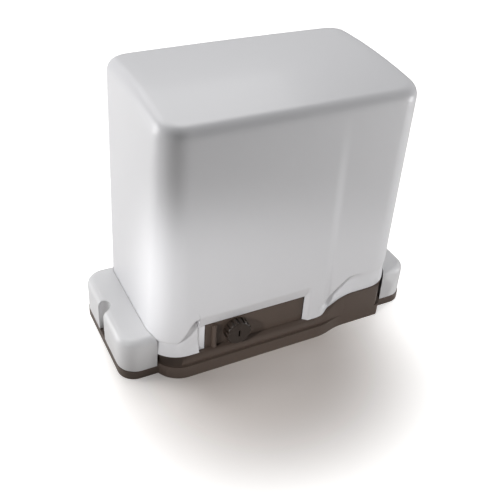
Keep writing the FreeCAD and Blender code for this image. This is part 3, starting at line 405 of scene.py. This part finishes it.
def new_piece(name, points, faces, look, smooth_angle=None):
    """Object from millimetre points and faces, its place held in the mesh."""
    mesh = bpy.data.meshes.new(name)
    mesh.from_pydata(placed(points).tolist(), [], [tuple(int(v) for v in f) for f in faces])
    mesh.polygons.foreach_set("use_smooth", np.ones(len(mesh.polygons), bool))
    if smooth_angle is not None:
        mesh.set_sharp_from_angle(angle=math.radians(smooth_angle))
    mesh.materials.append(look)
    mesh.update()
    obj = bpy.data.objects.new(name, mesh)
    show(obj)
    return obj


def add_wall(obj, thickness):
    """Gives a surface its thickness, measured inwards."""
    wall = obj.modifiers.new("wall", "SOLIDIFY")
    wall.thickness = thickness * MM
    wall.offset = -1.0
    wall.use_even_offset = False


def add_bevel(obj, width, segments, angle):
    """Rounds the edges that are sharper than an angle in degrees."""
    bevel = obj.modifiers.new("edges", "BEVEL")
    bevel.width = width * MM
    bevel.segments = segments
    bevel.limit_method = "ANGLE"
    bevel.angle_limit = math.radians(angle)
    bevel.harden_normals = True
    bevel.use_clamp_overlap = True


def even_normals(obj):
    """Normals weighted by face area, so that flat faces shade flat beside a rounded edge."""
    weighted = obj.modifiers.new("even", "WEIGHTED_NORMAL")
    weighted.keep_sharp = True


# ---- hood ----------------------------------------------------------------------------------------
RIM_LOW, RIM_HIGH = 27.0, 44.0
RIM_X, RIM_SWEEP = 40.0, 48.0                 # where the joint line climbs along the front
RIM_Y, RIM_TURN = 3.0, 6.0                    # where it drops again on the right flank
HOOD_LEFT, HOOD_RIGHT = (143.0, 133.0), (144.5, 135.0)     # at the rim, at the top
HOOD_FRONT, HOOD_BACK = (82.0, 81.0), (82.0, 82.0)
HOOD_BOW, BOW_REACH = 1.2, 140.0
CROWN_Y = 32.0
CROWN_DROP, CROWN_REACH = (0.6, 4.4), (130.0, 80.0)        # along X, along Y
CORNER_X = (-109.0, 111.0)
CORNER_FRONT, CORNER_BACK = (34.0, 26.0), (34.0, 20.0)
EDGE_R = 12.0
WALL = 3.0
ROOF_MIDDLE = (0.0, 1.0)
FACES_Y = 0.99                                # part of the normal along Y on the front and the back
DOOR_X, DOOR_TOP, DOOR_PLANE = (-90.0, 26.0), 59.0, 78.7
FLARE_SIDE, FLARE_TOP = 5.0, 14.0
BROW_LEFT, BROW_RISE, BROW_SWEEP = -97.0, 1.5, 6.0
LIP_Z, LIP_RISE, LIP_X, LIP_SWEEP = 45.0, 26.0, -122.0, 23.0      # the step left of the door
LIP_DEPTH, LIP_DEEPER, DEEP_X, DEEP_SWEEP = 2.2, 5.0, -126.0, 18.0
LIP_POWER, LIP_FLATTER, FLAT_X, FLAT_SWEEP = 1.3, 0.8, -120.0, 20.0
LIP_OVER, LIP_EDGE = 0.3, 1.5                 # its edge starts above the line, and its height
LIP_SHARE, LIP_FADE = 0.5, 0.3                # share of the left flank where it ends, and its fading
JAMB_X, JAMB_SWEEP, JAMB_DROP = 28.0, 5.0, 17.0            # the line drops past the door's right end
GROOVE_X, GROOVE_SWEEP, GROOVE_RISE = 46.0, 40.0, 26.0     # its upper edge climbs to the right
GROOVE_START, GROOVE_ENTRY = 44.0, 8.0
GROOVE_DEPTH, GROOVE_LOSS, LOSS_X, LOSS_SWEEP = 7.5, 5.2, 74.0, 30.0
GROOVE_EDGE, GROOVE_SOFTER, SOFT_X, SOFT_SWEEP = 1.6, 10.0, 70.0, 34.0
GROOVE_OVER, GROOVE_POWER, GROOVE_SHARE = 0.2, 1.4, 0.3
SLOT_R, SLOT_TOP = 33.0, 166.0
HIP_Z, HIP_X = 60.0, 70.0                     # the line's height at the back corners, its climb's start
FLANK_Z, FLANK_SHARE = 62.0, 0.4              # its height on the right flank, reached at this share
REAR_SHARE = 0.97
FRONT_SHARE = 0.6
FOLD_X, FOLD_LEAN = 48.0, 8.0                 # slanting fold right of the middle
WEDGE_DEPTH, WEDGE_TOP, WEDGE_SWEEP = 5.0, HEIGHT - 15.0, 13.0
LEVEL_LOW, LEVEL_RISE, LEVEL_X, LEVEL_SWEEP = 92.0, 100.0, 90.0, 40.0    # first even ring, over the line
LOW_STEPS = np.array([0, .12, .24, .36, .48, .6, .7, .8, .88, .94, 1.0])
MIDDLE_STEPS = np.array([.004, .05, .1, .16, .22, .28, .34, .4, .46, .52, .6, .7, .8, .9, 1.0])
HIGH_STEPS = np.linspace(0, 1, 15)[1:]
EDGE_TURNS = np.radians(np.linspace(0, 90, 9))[1:]
ROOF_STEPS = (0.1, 0.25, 0.45, 0.7, 0.9)


def crown(x, y):
    """Roof height: 290 less a shallow bow along X and a deeper one along Y, highest behind the middle."""
    along_x = CROWN_DROP[0] * (x / CROWN_REACH[0]) ** 2
    return HEIGHT - along_x - CROWN_DROP[1] * ((y - CROWN_Y) / CROWN_REACH[1]) ** 2


def share(z):
    """Share of the hood's height, 0 at the rim and 1 at the top."""
    return (z - RIM_LOW) / (HEIGHT - RIM_LOW)


def along(pair, z):
    """Straight line in height between the values at the rim and at the top."""
    return pair[0] + (pair[1] - pair[0]) * share(z)


def bow(x):
    """How far the front and the back bulge: most at the middle, falling off with the square of x."""
    return HOOD_BOW * (1 - (x / BOW_REACH) ** 2)


def hood_stations():
    """Stations round the hood: fixed x, outward normal along X and Y, and share of the side wall, which
    runs from 0 at the front to 1 at the back. They stand closer where the grid lines bend."""
    left_brow = [BROW_LEFT - 0.2, BROW_LEFT + 0.6, BROW_LEFT + 3]
    door = np.linspace(DOOR_X[0], DOOR_X[1], 24)
    jamb = np.linspace(DOOR_X[1] + 1, DOOR_X[1] + FLARE_SIDE, 4)
    groove = np.linspace(JAMB_X + JAMB_SWEEP, 100, 44)
    front = np.concatenate([np.linspace(CORNER_X[0], BROW_LEFT - 2, 8), left_brow, door, jamb, groove,
                            np.linspace(104, CORNER_X[1], 3)])
    turn = np.radians(np.linspace(0, 90, 13))[1:-1]
    side = np.concatenate([[0.0], np.linspace(0.05, 0.45, 7), [0.49, 0.53], np.linspace(0.6, 1.0, 8)])
    slot = SLOT_R * np.cos(np.linspace(0, math.pi, 25))
    back = np.concatenate([np.linspace(CORNER_X[1], 40, 10), slot, np.linspace(-40, CORNER_X[0], 10)])
    zero, one = np.zeros_like, np.ones_like
    rows = [
        (front, zero(front), -one(front), zero(front)),
        (CORNER_X[1] + zero(turn), np.sin(turn), -np.cos(turn), zero(turn)),
        (CORNER_X[1] + zero(side), one(side), zero(side), side),
        (CORNER_X[1] + zero(turn), np.cos(turn), np.sin(turn), one(turn)),
        (back, zero(back), one(back), one(back)),
        (CORNER_X[0] + zero(turn), -np.sin(turn), np.cos(turn), one(turn)),
        (CORNER_X[0] + zero(side), -one(side), zero(side), 1 - side),
        (CORNER_X[0] + zero(turn), -np.cos(turn), -np.sin(turn), zero(turn))]
    return [np.concatenate([row[k] for row in rows]) for k in range(4)]


def hood_ring(stations, z, inset=0.0):
    """Plan of the hood at height z: rounded rectangle, drafted, with front and back bowed outwards."""
    x0, nx, ny, s = stations
    reach = np.where(nx < 0, along(HOOD_LEFT, z) + CORNER_X[0], along(HOOD_RIGHT, z) - CORNER_X[1]) - inset
    x = x0 + nx * reach
    front = -(along(HOOD_FRONT, z) + bow(x)) + inset
    back = along(HOOD_BACK, z) + bow(x) - inset
    r_front, r_back = along(CORNER_FRONT, z) - inset, along(CORNER_BACK, z) - inset
    flat = front + r_front + (back - r_back - front - r_front) * s
    return x, flat + np.where(ny < 0, r_front, r_back) * ny


def rim_height(x, y):
    """Joint line: low, then an S up to the high stretch at the front right."""
    return RIM_LOW + (RIM_HIGH - RIM_LOW) * (rise(x, RIM_X, RIM_SWEEP) * fall(y, RIM_Y, RIM_TURN))


def feature_line(x, ny, s):
    """Height of the grid line that carries the step at the left, the door's top, the groove and the slot.
    Along the front it climbs in an S to the door's top, drops past the door and climbs with the groove.
    It is level on the flanks, and at the back it climbs to a half circle over the slot."""
    left = LIP_Z + LIP_RISE * rise(x, LIP_X, LIP_SWEEP)
    brow = DOOR_TOP - BROW_RISE + BROW_RISE * rise(x, BROW_LEFT, BROW_SWEEP)
    jamb = DOOR_TOP - JAMB_DROP * rise(x, JAMB_X, JAMB_SWEEP)
    groove = DOOR_TOP - JAMB_DROP + GROOVE_RISE * rise(x, GROOVE_X, GROOVE_SWEEP)
    stretches = [x < BROW_LEFT, x < DOOR_X[0], x <= JAMB_X + JAMB_SWEEP]
    front = np.select(stretches, [left, brow, jamb], groove)
    flank = front + (FLANK_Z - front) * rise(s, 0, FLANK_SHARE)
    slot_z = SLOT_TOP - SLOT_R
    arch = slot_z + np.sqrt(np.clip(SLOT_R ** 2 - x ** 2, 0, None))
    hip = HIP_Z + (slot_z - HIP_Z) * fall(np.abs(x), HIP_X, HIP_X - SLOT_R)
    rear = np.where(ny > FACES_Y, np.where(np.abs(x) < SLOT_R, arch, hip), HIP_Z)
    return np.where(s >= REAR_SHARE, rear, np.where(x > 0, flank, front))


def lip_step(x, z, line, s):
    """Step at the left: the wall falls back under the line and swells out again towards the rim."""
    below = np.clip(line - z, 0, None) / np.clip(line - RIM_LOW, 1, None)
    edge = fall(z, line + LIP_OVER, LIP_EDGE)
    deep = LIP_DEPTH + LIP_DEEPER * rise(x, DEEP_X, DEEP_SWEEP)
    swell = np.clip(1 - below, 0, 1) ** (LIP_POWER - LIP_FLATTER * rise(x, FLAT_X, FLAT_SWEEP))
    step = np.where(x < DOOR_X[0], deep * swell * edge, 0) * fall(s, LIP_SHARE, LIP_FADE)
    return np.where((x > BROW_LEFT) & (z > line), 0, step)


def door_flare(x, z):
    """Flat slope over and right of the door, from the face down to the door's plane."""
    face = along(HOOD_FRONT, z) + bow(x)
    down = (DOOR_TOP + FLARE_TOP - z) / FLARE_TOP
    inward = (DOOR_X[1] + FLARE_SIDE - x) / FLARE_SIDE
    flare = np.clip(np.minimum(down, inward), 0, 1) * (face - DOOR_PLANE)
    return np.where(x > BROW_LEFT, flare, 0)


def groove_depth(x, z, line, s):
    """Groove under the line right of the door: a crisp upper edge that softens to the right, a floor that
    runs out to nothing at the rim, and a depth that shrinks round the corner."""
    rim = rim_height(x, -HOOD_FRONT[0])
    soft = GROOVE_EDGE + GROOVE_SOFTER * rise(x, SOFT_X, SOFT_SWEEP)
    slope = np.clip((z - rim) / np.clip(line - rim, 1, None), 0, 1)
    cut = fall(z, line + GROOVE_OVER * soft, soft) * slope ** GROOVE_POWER
    depth = GROOVE_DEPTH - GROOVE_LOSS * rise(x, LOSS_X, LOSS_SWEEP)
    return depth * rise(x, GROOVE_START, GROOVE_ENTRY) * cut * fall(s, GROOVE_SHARE, GROOVE_SHARE)


def wedge_depth(x, z):
    """Setback right of a slanting fold: nothing under the roof, deepest at the rim."""
    depth = WEDGE_DEPTH * np.clip((WEDGE_TOP - z) / (WEDGE_TOP - RIM_LOW), 0, 1)
    return depth * rise(x, FOLD_X - FOLD_LEAN * z / HEIGHT, WEDGE_SWEEP)


def wall_rings(stations):
    """Rings of the wall, up to the foot of the roof's rounded edge. They run from the joint line to the
    feature line, then to a level that climbs over the slot at the back, then to the edge. Each ring is
    the drafted plan pushed inwards by the recesses of the front."""
    nx, ny, s = stations[1:]
    x, y = hood_ring(stations, HIP_Z)
    rim, line, roof = rim_height(x, y), feature_line(x, ny, s), crown(x, y)
    level = LEVEL_LOW + LEVEL_RISE * fall(np.abs(x), LEVEL_X, LEVEL_SWEEP) * (ny > FACES_Y)
    heights = [rim + (line - rim) * t for t in LOW_STEPS]
    heights += [line + (level - line) * t for t in MIDDLE_STEPS]
    heights += [level + (roof - EDGE_R - level) * t for t in HIGH_STEPS]
    rings = []
    for z in heights:
        px, py = hood_ring(stations, z)
        push = np.maximum(lip_step(px, z, line, s), door_flare(px, z)) + groove_depth(px, z, line, s)
        push = push * (s < FRONT_SHARE)
        set_back = np.clip(-ny, 0, 1) * (push + wedge_depth(px, z))
        rings.append(np.stack([px - nx * push, py + set_back, z], -1))
    return rings


def roof_rings(stations):
    """Rings of the roof: a quarter circle round its edge, then the last ring shrinking to the middle."""
    x, y = hood_ring(stations, HEIGHT, EDGE_R)
    rings = []
    for turn in EDGE_TURNS:
        px, py = hood_ring(stations, HEIGHT, EDGE_R * (1 - math.cos(turn)))
        rings.append(np.stack([px, py, crown(x, y) - EDGE_R * (1 - math.sin(turn))], -1))
    top = rings[-1]
    for k in ROOF_STEPS:
        px = top[:, 0] + (ROOF_MIDDLE[0] - top[:, 0]) * k
        py = top[:, 1] + (ROOF_MIDDLE[1] - top[:, 1]) * k
        rings.append(np.stack([px, py, crown(px, py)], -1))
    return rings


def hood_openings(stations):
    """Columns left open up to the feature line: those of the door in front and of the slot behind."""
    x, ny = hood_ring(stations, HIP_Z)[0], stations[2]
    middle = (x + np.roll(x, -1)) / 2
    door = (ny < -FACES_Y) & (middle > DOOR_X[0]) & (middle < DOOR_X[1])
    slot = (ny > FACES_Y) & (np.abs(middle) < SLOT_R)
    return door | slot


def make_hood():
    """Hood as one grid of the wall's and the roof's rings, closed at the middle by a fan of triangles.
    The faces of the openings and the points that only they used are left out."""
    stations = hood_stations()
    grid = np.stack(wall_rings(stations) + roof_rings(stations))
    rows, columns = grid.shape[:2]
    under = np.arange(rows - 1) < len(LOW_STEPS) - 1
    quads = grid_faces(rows, columns, ~(under[:, None] & hood_openings(stations)))
    last = (rows - 1) * columns + np.arange(columns)
    fan = np.stack([last, np.roll(last, -1), np.full(columns, rows * columns)], -1)
    points = np.vstack([grid.reshape(-1, 3), [[*ROOF_MIDDLE, crown(*ROOF_MIDDLE)]]])
    used = np.unique(np.concatenate([quads.ravel(), fan.ravel()]))
    number = np.full(len(points), -1)
    number[used] = np.arange(len(used))
    faces = [tuple(f) for f in number[quads]] + [tuple(f) for f in number[fan]]
    hood = new_piece("hood_shell", points[used], faces, FINISHES["hood"])
    add_wall(hood, WALL)
    add_bevel(hood, width=0.5, segments=2, angle=50)
    return hood


# ---- foot covers ---------------------------------------------------------------------------------
COVER_GAP, COVER_WALL, COVER_EDGE_R, COVER_CORNER_R = 0.4, 2.5, 8.0, 20.0
COVER_WALL_ROWS = 6
COVER_EDGE_TURNS = np.radians(np.linspace(0, 90, 8))[1:]
NOTCH_X, NOTCH_R = 172.0, 9.0


def hood_side(y, z, side):
    """The hood's flank at depth y: its flat wall, then the quarter circle of its front corner, which
    stands for the back one too."""
    wall, corner = (HOOD_LEFT, CORNER_X[0]) if side < 0 else (HOOD_RIGHT, CORNER_X[1])
    radius = along(wall, z) - abs(corner)
    start = along(HOOD_FRONT, z) - along(CORNER_FRONT, z)
    over = np.clip(np.abs(y) - start, 0, radius - 1)
    return abs(corner) + np.sqrt(radius ** 2 - over ** 2)


def cover_ring(side, z, inset, low, high, outer):
    """Plan of a foot cover: the hood's flank, two straight ends with round outer corners, and the
    half-round notch in the outer side; inset draws in all but the flank and the notch."""
    y0, y1, out = low + inset, high - inset, outer - inset
    r = COVER_CORNER_R - inset
    flank_y = np.linspace(y1, y0, 30)
    flank = np.stack([hood_side(flank_y, z, side) + COVER_GAP, flank_y], -1)
    turn = np.radians(np.linspace(0, 90, 10))
    steps = np.linspace(0, 1, 6)[1:-1]
    open_angle = math.acos((NOTCH_X - out) / NOTCH_R)
    swing = np.linspace(-open_angle, open_angle, 17)
    notch = np.stack([NOTCH_X - NOTCH_R * np.cos(swing), NOTCH_R * np.sin(swing)], -1)
    end0 = np.stack([flank[-1, 0] + (out - r - flank[-1, 0]) * steps, y0 + 0 * steps], -1)
    corner0 = np.stack([out - r + r * np.sin(turn), y0 + r - r * np.cos(turn)], -1)
    side0 = np.stack([out + 0 * steps, y0 + r + (notch[0, 1] - y0 - r) * steps], -1)
    side1 = np.stack([out + 0 * steps, notch[-1, 1] + (y1 - r - notch[-1, 1]) * steps], -1)
    corner1 = np.stack([out - r + r * np.cos(turn), y1 - r + r * np.sin(turn)], -1)
    end1 = np.stack([out - r + (flank[0, 0] - out + r) * steps, y1 + 0 * steps], -1)
    ring = np.concatenate([flank, end0, corner0, side0, notch, side1, corner1, end1])
    return np.column_stack([side * ring[:, 0], ring[:, 1], np.full(len(ring), z)])


def make_cover(node, side):
    """Foot cover: the plan carried up from the plate, its outer edge rounded over into a flat top."""
    lo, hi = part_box(node)
    low, high = lo.y * 1000 - SHIFT_Y, hi.y * 1000 - SHIFT_Y
    bottom, top = lo.z * 1000, hi.z * 1000
    outer = max(abs(lo.x), abs(hi.x)) * 1000
    levels = [(z, 0.0) for z in np.linspace(bottom, top - COVER_EDGE_R, COVER_WALL_ROWS)]
    for turn in COVER_EDGE_TURNS:
        levels.append((top - COVER_EDGE_R * (1 - math.sin(turn)), COVER_EDGE_R * (1 - math.cos(turn))))
    grid = np.stack([cover_ring(side, z, inset, low, high, outer) for z, inset in levels])
    rows, columns = grid.shape[:2]
    quads = grid_faces(rows, columns, np.ones((rows - 1, columns), bool))
    lid = (rows - 1) * columns + np.arange(columns)
    faces = [tuple(f) for f in quads] + [tuple(lid)]
    if side < 0:
        faces = [f[::-1] for f in faces]
    cover = new_piece(node + "_shell", grid.reshape(-1, 3), faces, FINISHES["covers"])
    add_wall(cover, COVER_WALL)
    add_bevel(cover, width=0.7, segments=3, angle=40)
    even_normals(cover)
    return cover


# ---- screw ears ----------------------------------------------------------------------------------
EAR_X, EAR_Y, EAR_R, EAR_THICK, EAR_HOLE = 104.0, 88.0, 8.0, 5.0, 2.8
EAR_REACH = EAR_R + 1                         # how far the ear runs towards the wall
EAR_STEPS = 48


def make_ear(name, side):
    """Screw ear at the hood's back: a ring between the screw's hole and an outline that is round at the
    back and square towards the wall, closed round its four edges."""
    angle = np.linspace(0, 2 * math.pi, EAR_STEPS, endpoint=False)
    c, s = np.cos(angle), np.sin(angle)
    square = np.minimum(EAR_R / np.maximum(np.abs(c), 1e-6), EAR_REACH / np.maximum(-s, 1e-6))
    outline, hole = np.where(s >= 0, EAR_R, square), EAR_HOLE + 0 * c
    edges = ((outline, 0.0), (outline, EAR_THICK), (hole, EAR_THICK), (hole, 0.0))
    grid = np.stack([np.stack([side * EAR_X + r * c, EAR_Y + r * s, RIM_LOW + z + 0 * c], -1)
                     for r, z in edges])
    i, j = np.meshgrid(np.arange(len(edges)), np.arange(EAR_STEPS), indexing="ij")
    k, m = (j + 1) % EAR_STEPS, (i + 1) % len(edges)
    quads = np.stack([i * EAR_STEPS + j, i * EAR_STEPS + k, m * EAR_STEPS + k, m * EAR_STEPS + j], -1)
    ear = new_piece(name, grid.reshape(-1, 3), quads.reshape(-1, 4), FINISHES["hood"], smooth_angle=30)
    add_bevel(ear, width=0.6, segments=2, angle=50)
    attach(ear, body_of(NODES["hood"])[0])


# ---- parts that keep their CAD shape -------------------------------------------------------------
MERGE_DISTANCE, SHORTEST_EDGE = 2e-6, 1e-6    # metres
FLAT_ANGLE, SHARP_ANGLE = 0.6, 32.0           # degrees


def dress(piece, node):
    """Puts a finished piece on the body of the node that it stands for."""
    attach(piece, body_of(NODES[node])[0])
    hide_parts(node)


def smooth_copy(node):
    """The node's triangles merged along their shared edges, smooth wherever they meet gently."""
    work = bmesh.new()
    work.from_mesh(NODES[node].data)
    work.transform(NODES[node].matrix_world)
    bmesh.ops.remove_doubles(work, verts=work.verts, dist=MERGE_DISTANCE)
    bmesh.ops.dissolve_degenerate(work, edges=work.edges, dist=SHORTEST_EDGE)
    bmesh.ops.dissolve_limit(work, angle_limit=math.radians(FLAT_ANGLE), verts=work.verts, edges=work.edges)
    mesh = bpy.data.meshes.new(node + "_skin")
    work.to_mesh(mesh)
    work.free()
    mesh.polygons.foreach_set("use_smooth", np.ones(len(mesh.polygons), bool))
    mesh.set_sharp_from_angle(angle=math.radians(SHARP_ANGLE))
    mesh.materials.clear()
    mesh.materials.append(FINISHES[SLOTS[node]])
    skin = bpy.data.objects.new(node + "_skin", mesh)
    show(skin)
    even_normals(skin)
    dress(skin, node)


dress(make_hood(), "hood")
make_ear("hood_ear_left", -1)
make_ear("hood_ear_right", 1)
dress(make_cover("foot_cover_left", -1), "foot_cover_left")
dress(make_cover("foot_cover_right", 1), "foot_cover_right")
for node in NODES:
    if not NODES[node].hide_render:
        smooth_copy(node)
